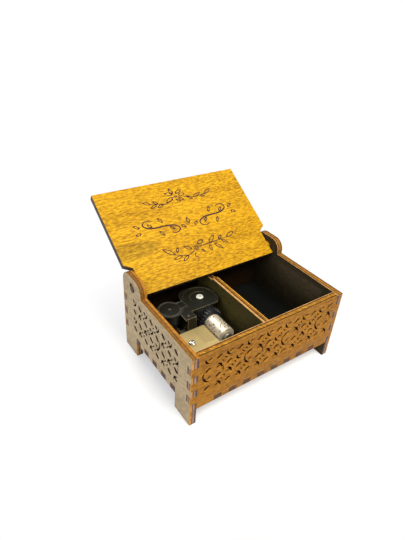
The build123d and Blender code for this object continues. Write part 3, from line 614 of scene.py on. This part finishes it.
def leaf_line(foot, tip, width):
    """Drawn leaf from its foot to its tip, in millimetres: its outline and a smaller one inside."""
    foot, tip, width = np.array(foot) / 1000, np.array(tip) / 1000, width / 1000
    length = np.linalg.norm(tip - foot)
    turn = math.atan2(*(tip - foot)[::-1])
    inner = leaf(length - 4.5 * line_wide, width - 2 * line_wide) + [2.2 * line_wide, 0]
    return [turned(loop, turn, foot) for loop in (leaf(length, width), inner)]


def bowed(points, width, steps=16):
    """Line through points in millimetres, smoothed by Catmull-Rom cubics, thinner at its end."""
    points = np.array(points) / 1000
    points = np.array([points[0], *points, points[-1]], float)
    s = np.linspace(0, 1, steps, endpoint=False)[:, None]
    path = []
    for p0, p1, p2, p3 in zip(points, points[1:], points[2:], points[3:]):
        path.append(0.5 * (2 * p1 + (p2 - p0) * s + (2 * p0 - 5 * p1 + 4 * p2 - p3) * s**2
                           + (3 * p1 - p0 - 3 * p2 + p3) * s**3))
    path = np.concatenate(path)
    return stroke(path, np.linspace(width, width * 0.5, len(path)))


scroll_up = 0.0315
scroll_size = np.array([0.050, 0.029])
scroll_turn = 4.4
scroll_place = np.array([0.0195, 0.0])
scroll_wide = 0.00105
scroll_leaves = (
    ((33, 2.2), (37, 5)), ((33.5, -1.2), (37.8, -2)), ((6.2, -1.8), (3, -4.6)), ((17, 2.4), (19.6, 6.6)),
    ((22, -2.4), (19.4, -6.6)), ((25, 1.0), (28, 3.8)), ((14, -1.0), (11, -3.8)),
)
upper_leaves = (
    ((-1.5, 51.8), (-7.2, 54.2), 2.5), ((-1.0, 52.3), (-2.6, 57.0), 2.6), ((0.6, 52.4), (6.2, 54.7), 2.4),
    ((2.2, 50.9), (7.4, 51.2), 2.2), ((-2.2, 50.1), (-8.4, 47.2), 2.5), ((-0.8, 48.3), (2.2, 45.9), 2.0),
    ((1.6, 49.2), (5.0, 46.6), 1.9), ((-1.6, 50.0), (1.4, 50.4), 1.5),
    ((-18.8, 48.4), (-24.4, 50.6), 2.2), ((-15.2, 47.5), (-20.4, 45.2), 2.0),
    ((-13.8, 47.6), (-17.4, 49.9), 1.9), ((-10.4, 46.9), (-15.6, 44.8), 2.1),
    ((7.4, 49.0), (11.6, 45.8), 2.0), ((11.8, 47.0), (18.8, 49.6), 2.0), ((17.2, 47.6), (21.0, 45.8), 1.7),
    ((20.8, 47.6), (27.4, 50.8), 2.1),
)
upper_stems = (((-2.6, 48.6), (-9.6, 46.3), (-15.0, 47.4), (-19.4, 48.6)),
               ((5.6, 49.2), (11.8, 47.2), (17.2, 47.5), (21.4, 47.6)))
lower_leaves = (
    ((-19.0, 10.8), (-25.8, 16.9), 2.9), ((-17.6, 11.8), (-15.6, 15.6), 2.0),
    ((-15.0, 9.2), (-21.6, 8.2), 2.0), ((-10.8, 8.4), (-16.2, 5.6), 2.2),
    ((-6.8, 11.8), (-12.0, 15.1), 2.4), ((-2.0, 13.8), (3.2, 15.9), 3.0),
    ((-0.9, 9.7), (1.2, 7.4), 1.7), ((6.3, 12.5), (12.2, 17.1), 2.8), ((6.2, 11.6), (5.6, 6.6), 2.0),
    ((9.4, 11.2), (14.2, 6.2), 2.2), ((13.8, 13.4), (17.4, 15.4), 2.0), ((15.2, 12.6), (19.8, 8.8), 2.0),
    ((20.1, 13.2), (27.4, 15.4), 2.6),
)
lower_stems = (((-5.8, 10.2), (-10.8, 8.6), (-15.0, 9.4), (-19.2, 10.9)),
               ((-1.2, 12.2), (6.4, 12.2), (13.8, 12.8), (20.2, 13.2)),
               ((-6.0, 8.8), (-6.9, 6.6), (-5.4, 5.0), (-7.2, 2.4)))
rose_place = (-0.0040, 0.0118)
rose_turns, rose_core, rose_growth, rose_line = 2.2, 0.0003, 0.00012, 0.00044
diamond = np.array([[0.0016, 0], [0, 0.0026], [-0.0016, 0], [0, -0.0026]])


def scroll(way):
    """Half the middle scroll: a wide Euler spiral, whose heading grows with the square of the way
    from its middle, with leaves at its curls."""
    s = np.linspace(-1, 1, 81)
    heading = scroll_turn * s**2
    path = np.cumsum(np.stack([np.cos(heading), np.sin(heading)], 1), 0) * scroll_size / len(s)
    path = path - path[len(s) // 2]
    made = [[stroke(path + scroll_place, scroll_wide * (1 - 0.6 * s**2))]]
    made += [leaf_line(foot, tip, 2.0) for foot, tip in scroll_leaves]
    return [[loop * [way, 1] + [0, scroll_up] for loop in group] for group in made]


def engraving():
    """The ornament's closed outlines in groups filled one by one, in the lid's own plane: x
    across, y from the hinge. The rose is an Archimedean spiral."""
    made = []
    for leaves, stems in ((upper_leaves, upper_stems), (lower_leaves, lower_stems)):
        made += [leaf_line(foot, tip, width) for foot, tip, width in leaves]
        made += [[bowed(line, stem_wide)] for line in stems]
    turn = np.linspace(0, 2 * rose_turns * np.pi, 60)
    rose = np.stack([np.cos(turn), np.sin(turn)], 1) * (rose_core + rose_growth * turn)[:, None]
    made.append([stroke(rose + rose_place, rose_line)])
    made.append([loop + [0, scroll_up] for loop in (diamond, diamond * 0.55)])
    return made + scroll(-1) + scroll(1)


def joined(*meshes):
    """The meshes as one. Their faces pick finishes by number, in the order of the meshes."""
    shape = bmesh.new()
    for k, part in enumerate(meshes):
        start = len(shape.faces)
        shape.from_mesh(part)
        shape.faces.ensure_lookup_table()
        for face in shape.faces[start:]:
            face.material_index = k
    bmesh.ops.recalc_face_normals(shape, faces=shape.faces)
    made = bpy.data.meshes.new("joined")
    shape.to_mesh(made)
    shape.free()
    return smoothed(made, 30)


def filled(outlines, plane, low, high):
    """Flat board with holes: closed outlines filled by turns, from low to high over the plane."""
    line = bpy.data.curves.new("outline", "CURVE")
    line.dimensions = "2D"
    line.fill_mode = "BOTH"
    line.extrude = (high - low) / 2
    for outline in outlines:
        spline = line.splines.new("POLY")
        spline.points.add(len(outline) - 1)
        points = np.zeros((len(outline), 4))
        points[:, :2] = outline
        points[:, 3] = 1
        spline.points.foreach_set("co", points.ravel())
        spline.use_cyclic_u = True
    work = placed("work", line)
    made = baked(work)
    bpy.data.objects.remove(work)
    made.transform(plane @ Matrix.Translation((0, 0, (high + low) / 2)))
    shape = bmesh.new()
    shape.from_mesh(made)
    bmesh.ops.remove_doubles(shape, verts=shape.verts, dist=1e-7)
    bmesh.ops.recalc_face_normals(shape, faces=shape.faces)
    shape.to_mesh(made)
    shape.free()
    return made


lid_plane = Matrix.Translation(lid_hinge) @ Matrix((
    (1, 0, 0, 0),
    (0, lid_along.y, lid_inward.y, 0),
    (0, lid_along.z, lid_inward.z, 0),
    (0, 0, 0, 1),
))
f = Finish("engraved_lines")
char = f.noise(f.place, 900, detail=3)
f.paint(f.ramp(char, [(0.3, (0.022, 0.004, 0.004, 1)), (0.7, (0.062, 0.013, 0.009, 1))]), 0.85)
f.bump(char, 0.0001, 0.6)
lines = joined(*[filled(group, lid_plane, ply / 2 - line_deep, ply / 2 + line_proud)
                 for group in engraving()])
show("lid_engraving", lines, "lid", "lid_plywood", f.material)

# Bedplate and spring case: a cast plate and a turned cup, plated dull grey. The plate stands on the
# box's floor and carries the whole movement.
bed_round = 0.00015
case_round = 0.0002


def metal(name, light, dark, rough, brushed=(1, 1, 1), metallic=1.0, scale=400.0, bump=0.00003, spread=0.1,
          specular=0.5):
    """Metal, or moulded plastic where metallic is 0, with fine streaks: noise stretched by the
    brushed factors drives tone and gloss."""
    f = Finish(name)
    spot = f.add("ShaderNodeVectorMath", {0: f.place, 1: brushed}, operation="MULTIPLY").outputs[0]
    streak = f.noise(spot, scale, detail=4)
    smudge = f.noise(f.place, 90, detail=2)
    tone = f.weighed((streak, 0.6), (smudge, 0.4))
    colour = f.ramp(f.level(tone, 0.3, 0.7), [(0.0, (*dark, 1)), (1.0, (*light, 1))])
    gloss = f.level(tone, 0.3, 0.7, rough + spread, max(rough - spread, 0.05))
    f.paint(colour, gloss, specular, metallic)
    f.bump(streak, bump, 0.6)
    return f.material


cast_grey = metal("cast_grey", (0.42, 0.40, 0.34), (0.25, 0.24, 0.2), rough=0.5, scale=900.0)
case_grey = metal("case_grey", (0.34, 0.33, 0.3), (0.2, 0.2, 0.18), rough=0.4, brushed=(1, 1, 5))
show("bed", eased("bedplate", bed_round, 2), "root", "cast_base", cast_grey, "bedplate")
show("spring_drum", eased("spring_case", case_round, 2), "root", "case_steel", case_grey, "spring_case")

# Comb: a straw-tinted steel plate slit into teeth, held on the bedplate by a bright domed screw.
# Two screws from below hold the bedplate to the floor.
comb_round = 0.00004
comb_bolt_round = 0.0004
floor_bolt_round = 0.0002
straw_steel = metal("straw_steel", (0.535, 0.41, 0.172), (0.45, 0.34, 0.138), rough=0.62, brushed=(1, 6, 1),
                    metallic=0.35, scale=700.0)
bright_steel = metal("bright_steel", (0.92, 0.90, 0.84), (0.7, 0.68, 0.62), rough=0.22, scale=700.0)
show("comb_plate", eased("comb", comb_round, 1), "root", "comb_steel", straw_steel, "comb")
show("comb_bolt", eased("comb_screw", comb_bolt_round, 4), "root", "screw_steel", bright_steel,
     "comb_screw")
show("floor_bolts", eased("movement_screws", floor_bolt_round, 2), "root", "screw_steel", bright_steel,
     "movement_screws")

# Pinned cylinder: a turned steel tube set with rows of short round pins, on a thin arbor. A black
# moulded gear with a raised shoulder is fixed to its back end and turns it.
drum_low, drum_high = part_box("pinned_cylinder")
drum_length = drum_high.y - drum_low.y
axle = Vector(joints["cylinder_turn"]["pos_m"])
drum_radius = 0.0054
drum_bore = 0.0009
drum_lip = 0.00015
drum_gear_round = 0.00008
pin_tracks = 18
pins_each = 7
pin_share = 0.55
pin_seed = 18
pin_radius = 0.00026
pin_high = 0.00062
pin_sunk = 0.0003
track_margin = 0.0010


def round_faces(k):
    """Quads between neighbouring rings in a grid of vertex numbers, closed round each ring."""
    return np.stack([k[:-1], np.roll(k[:-1], -1, 1), np.roll(k[1:], -1, 1), k[1:]], -1).reshape(-1, 4)


def turned_shape(profile, centre, axis, sides=20):
    """Surface of revolution: profile points (radius, along) carried round the axis, both ends
    closed on it."""
    axis = np.array(axis, float)
    u = np.cross(axis, [0.3, 0.5, 0.8])
    u /= np.linalg.norm(u)
    v = np.cross(axis, u)
    turn = np.linspace(0, 2 * np.pi, sides, endpoint=False)
    profile = np.array(profile, float)
    around = np.cos(turn)[:, None] * u + np.sin(turn)[:, None] * v
    verts = np.array(centre) + profile[:, :1, None] * around[None] + profile[:, 1:, None] * axis
    k = np.arange(len(profile) * sides).reshape(len(profile), sides)
    faces = [*round_faces(k).tolist(), k[0][::-1].tolist(), k[-1].tolist()]
    return smoothed(mesh_of(verts.reshape(-1, 3), faces), 30)


def pins():
    """Short round pins with domed tops, on even tracks at seeded places round the drum."""
    chance = np.random.default_rng(pin_seed)
    track = np.repeat(np.arange(pin_tracks), pins_each)
    share = (np.tile(np.arange(pins_each), pin_tracks) + chance.random(len(track)) * 0.8) / pins_each
    angle = 2 * np.pi * (share + chance.random(pin_tracks)[track])
    keep = chance.random(len(track)) < pin_share
    along = drum_low.y + track_margin + (track + 0.5) * (drum_length - 2 * track_margin) / pin_tracks
    angle, along = angle[keep], along[keep]
    out = np.stack([np.cos(angle), 0 * angle, np.sin(angle)], 1)
    side = np.stack([-np.sin(angle), 0 * angle, np.cos(angle)], 1)
    turn = np.linspace(0, 2 * np.pi, 8, endpoint=False)
    round_pin = (np.cos(turn)[None, :, None] * side[:, None]
                 + np.sin(turn)[None, :, None] * np.array([0, 1, 0]))
    rings = [(out * (drum_radius + lift))[:, None] + pin_radius * width * round_pin
             for lift, width in ((-pin_sunk, 1.0), (pin_high * 0.8, 0.95), (pin_high, 0.6))]
    verts = np.stack(rings, 1) + np.array([axle.x, 0, axle.z])
    verts[..., 1] += along[:, None, None]
    k = np.arange(verts[..., 0].size).reshape(verts.shape[:3])
    faces = [face for pin in k for face in round_faces(pin).tolist()]
    faces += k[:, 2].tolist() + k[:, 0, ::-1].tolist()
    return mesh_of(verts.reshape(-1, 3), faces)


drum_profile = [(drum_bore, 0), (drum_radius - drum_lip, 0), (drum_radius, drum_lip),
                (drum_radius, drum_length - drum_lip), (drum_radius - drum_lip, drum_length),
                (drum_bore, drum_length)]
drum_skin = turned_shape(drum_profile, (axle.x, drum_low.y, axle.z), (0, 1, 0), 128)
# The drum's warm gold tint is a painted reflection on bright steel; the pins are coloured dark as painted
# shade.
drum_steel_painted_gold = metal("drum_steel_painted_gold", (0.95, 0.82, 0.60), (0.86, 0.74, 0.56), rough=0.32, brushed=(1, 3, 1),
                   metallic=0.6, scale=300.0, bump=0.00001, spread=0.03)
pin_painted_shade = metal("pin_painted_shade", (0.10, 0.08, 0.06), (0.03, 0.025, 0.02), rough=0.3, metallic=0.8,
                  scale=900.0)
gear_black = metal("gear_black", (0.016, 0.016, 0.0165), (0.007, 0.007, 0.0075), rough=0.26, metallic=0.0,
                   scale=1500.0)
show("drum_with_pins", joined(drum_skin, pins()), "cylinder", "cylinder_steel", (drum_steel_painted_gold, pin_painted_shade),
     "pinned_cylinder")
show("drum_gear", eased("cylinder_gear", drum_gear_round, 2), "cylinder", "gear_plastic", gear_black,
     "cylinder_gear")

# Bridge: a bent steel plate, japanned black, with a round lobe over the spring case. Its edges and
# the low arcs round the lobe are rubbed bright. A light screw holds the case up under it.
bridge_round = 0.00026
bridge_bolt_round = 0.00035
bolt_low, bolt_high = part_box("bridge_screw")
bolt = (bolt_low + bolt_high) / 2
bridge_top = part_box("bridge")[1].z
lobe = Vector(joints["key_wind"]["pos_m"])
lobe_top = (lobe.x, lobe.y, bridge_top)
# A thin dark disc on the screw's head is painted shade for its hole.
dot_profile = [(0.0, -0.0002), (0.00042, -0.0002), (0.00042, 0.0), (0.0, 0.00002)]
dot_place = (bolt.x + 0.0003, bolt.y - 0.0002, bolt_high.z - 0.00002)
rivet_profile = [(0.0, 0), (0.00062, 0), (0.0005, 0.00012), (0.0, 0.00016)]
rivet_place = (lobe.x - 0.0151, lobe.y - 0.0113, bridge_top)
black_enamel = metal("black_enamel", (0.0150, 0.0140, 0.0072), (0.0045, 0.0048, 0.0030), rough=0.5,
                     metallic=0.1, scale=1100.0, specular=0.22)
worn_edge = metal("worn_edge", (0.30, 0.235, 0.13), (0.05, 0.042, 0.026), rough=0.4, metallic=0.7,
                  scale=500.0)
cream_white = metal("cream_white", (0.80, 0.77, 0.66), (0.66, 0.62, 0.5), rough=0.35, metallic=0.1,
                    scale=900.0)
hole_painted_shade = metal("hole_painted_shade", (0.04, 0.035, 0.03), (0.02, 0.018, 0.015), rough=0.5, metallic=0.0,
                 scale=900.0)
show("bridge_plate", eased("bridge", bridge_round, 2, rim=True), "root", "black_bridge",
     (black_enamel, worn_edge), "bridge")
dot = turned_shape(dot_profile, dot_place, (0, 0, 1))
show("bridge_bolt", joined(eased("bridge_screw", bridge_bolt_round, 3), dot), "root", "screw_steel",
     (cream_white, hole_painted_shade), "bridge_screw")


def bead(centre, radius, first, last, width, high, steps=48):
    """Low raised line along an arc, with a rounded section sunk into what it lies on. It thins at
    both ends by a root of a sine."""
    turn = np.radians(np.linspace(first, last, steps))
    section = np.radians(np.linspace(0, 360, 9)[:-1])
    end = np.sin(np.linspace(0, np.pi, steps)) ** 0.25
    r = radius + width / 2 * np.cos(section)[None] * end[:, None]
    z = high * np.sin(section)[None] * end[:, None]
    verts = np.stack([centre[0] + r * np.cos(turn)[:, None], centre[1] + r * np.sin(turn)[:, None],
                      centre[2] + z], -1)
    k = np.arange(verts[..., 0].size).reshape(verts.shape[:2])
    return mesh_of(verts.reshape(-1, 3), [*round_faces(k).tolist(), k[0].tolist(), k[-1][::-1].tolist()])


bridge_marks = joined(
    bead(lobe_top, radius=0.0060, first=30, last=200, width=0.00026, high=0.00006),
    bead(lobe_top, radius=0.0102, first=-25, last=170, width=0.00022, high=0.00007),
    turned_shape(rivet_profile, rivet_place, (0, 0, 1)),
)
show("bridge_marks", bridge_marks, "root", "black_bridge", worn_edge)

# Governor: a black moulded cup on two posts, under a black cap with a tab. The fan turns inside it.
# Their edges are painted light grey as a highlight, and a low ring and a small hub stand on the cap.
governor_round = 0.00022
post = Vector(joints["fan_turn"]["pos_m"])
cap_top = (post.x, post.y, bridge_top)
hub_profile = [(0.0, 0), (0.0009, 0), (0.0006, 0.00014), (0.0, 0.0002)]
black_plastic = metal("black_plastic", (0.0115, 0.0120, 0.0100), (0.0055, 0.0058, 0.0048), rough=0.36,
                      metallic=0.0, scale=1500.0, specular=0.35)
rim_painted_highlight = metal("rim_painted_highlight", (0.15, 0.145, 0.12), (0.028, 0.028, 0.024), rough=0.4, metallic=0.2,
                 scale=500.0)
show("governor_cup", eased("governor_housing", governor_round, 2, rim=True), "root", "black_plastic",
     (black_plastic, rim_painted_highlight), "governor_housing")
show("governor_lid", eased("governor_cap", governor_round, 2, rim=True), "root", "black_plastic",
     (black_enamel, rim_painted_highlight), "governor_cap")
cap_marks = joined(
    bead(cap_top, radius=0.0060, first=0, last=359.9, width=0.0002, high=0.00006),
    turned_shape(hub_profile, cap_top, (0, 0, 1)),
)
show("cap_marks", cap_marks, "root", "black_plastic", worn_edge)

# Gear train and springs: brass wheels, cut steel worm, pinion and arbors, and blue-grey springs.
# They keep their solids; the white moulded fan sits on the worm's shaft.
wheel_brass = metal("wheel_brass", (0.78, 0.56, 0.22), (0.6, 0.4, 0.13), rough=0.3, scale=800.0)
spring_grey = metal("spring_grey", (0.32, 0.32, 0.34), (0.2, 0.2, 0.22), rough=0.35, brushed=(1, 1, 8))
fan_white = metal("fan_white", (0.75, 0.74, 0.70), (0.62, 0.6, 0.55), rough=0.45, metallic=0.0,
                  scale=1000.0)
for node, material in (
    ("governor_pinion", bright_steel), ("worm_wheel", wheel_brass), ("governor_worm", bright_steel),
    ("governor_fan", fan_white), ("great_wheel", wheel_brass), ("clutch_spring", spring_grey),
    ("mainspring", spring_grey), ("cylinder_arbor", bright_steel), ("winding_arbor", bright_steel),
):
    solid = frame["nodes"][node]
    solid.data.materials.clear()
    solid.data.materials.append(material)

# Winding key: a nickelled hub with two flat wings, pushed on the arbor under the floor.
# A hand reaches it between the legs.
key_round = 0.0003
key_nickel = metal("key_nickel", (0.82, 0.79, 0.72), (0.62, 0.6, 0.54), rough=0.25, brushed=(1, 1, 4))
show("key", eased("winding_key", key_round, 3), "winding", "key_steel", key_nickel, "winding_key")

# Stage: a white table, soft light from above and the camera where the picture was taken.
# The table fades into the white background with the distance from the box.
table_half = 3.0
glow_near, glow_far, glow_least = 0.055, 0.115, 0.35
f = Finish("white_table")
f.paint((0.92, 0.92, 0.92, 1), 0.6)
glow = f.add("ShaderNodeEmission", {"Color": (1, 1, 1, 1), "Strength": 1.0})
seen = f.add("ShaderNodeLightPath").outputs["Is Camera Ray"]
away = f.add("ShaderNodeVectorMath", {0: f.place, 1: (0, box_middle, 0)},
             operation="DISTANCE").outputs["Value"]
share = f.maths("MULTIPLY", seen, f.level(away, glow_near, glow_far, glow_least, 1.0))
blend = f.add("ShaderNodeMixShader", {0: share, 1: f.shader.outputs[0], 2: glow.outputs[0]})
f.set(f.tree.nodes["Material Output"].inputs["Surface"], blend.outputs[0])
table_corners = [(x * table_half, y * table_half, 0) for x, y in ((-1, -1), (1, -1), (1, 1), (-1, 1))]
table = placed("table", mesh_of(table_corners, [(0, 1, 2, 3)]))
table.data.materials.append(f.material)

world = bpy.data.worlds.new("room")
bpy.context.scene.world = world
world.use_nodes = True
sky = world.node_tree.nodes["Background"]
sky.inputs["Color"].default_value = (0.95, 0.97, 1.0, 1)
sky.inputs["Strength"].default_value = 0.50
white = world.node_tree.nodes.new("ShaderNodeBackground")
white.inputs["Color"].default_value = (1, 1, 1, 1)
white.inputs["Strength"].default_value = 1.0
path = world.node_tree.nodes.new("ShaderNodeLightPath")
choose = world.node_tree.nodes.new("ShaderNodeMixShader")
world.node_tree.links.new(path.outputs["Is Camera Ray"], choose.inputs[0])
world.node_tree.links.new(sky.outputs[0], choose.inputs[1])
world.node_tree.links.new(white.outputs[0], choose.inputs[2])
world.node_tree.links.new(choose.outputs[0], world.node_tree.nodes["World Output"].inputs["Surface"])

lamp_aim = Vector((0, 0, 0.03))
for name, place, size, watts, colour in (
    ("key_light", (0.10, -0.44, 0.76), 0.35, 7.4, (1.0, 0.95, 0.86)),
    ("fill_light", (-0.60, -0.25, 0.45), 0.5, 2.6, (0.80, 0.89, 1.0)),
    ("back_light", (-0.1, 0.6, 0.7), 0.5, 2.4, (1.0, 0.98, 0.95)),
):
    lamp = bpy.data.lights.new(name, "AREA")
    lamp.size = size
    lamp.energy = watts
    lamp.color = colour
    light = placed(name, lamp)
    light.location = place
    light.rotation_mode = "QUATERNION"
    light.rotation_quaternion = (lamp_aim - Vector(place)).to_track_quat("-Z", "Y")

camera_place = Vector((-0.1338, -0.1744, 0.1914))
camera_aim = Vector((0.0159, 0.0326, 0.024))
camera_roll = math.radians(3.48)
lens = bpy.data.cameras.new("camera")
lens.sensor_width = 36.0
lens.lens = 28.25
lens.clip_start = 0.01
camera = placed("camera", lens)
camera.location = camera_place
camera.rotation_mode = "QUATERNION"
upright = (camera_aim - camera_place).to_track_quat("-Z", "Y")
camera.rotation_quaternion = upright @ Matrix.Rotation(camera_roll, 3, "Z").to_quaternion()
bpy.context.scene.camera = camera
bpy.context.scene.view_settings.view_transform = "Standard"
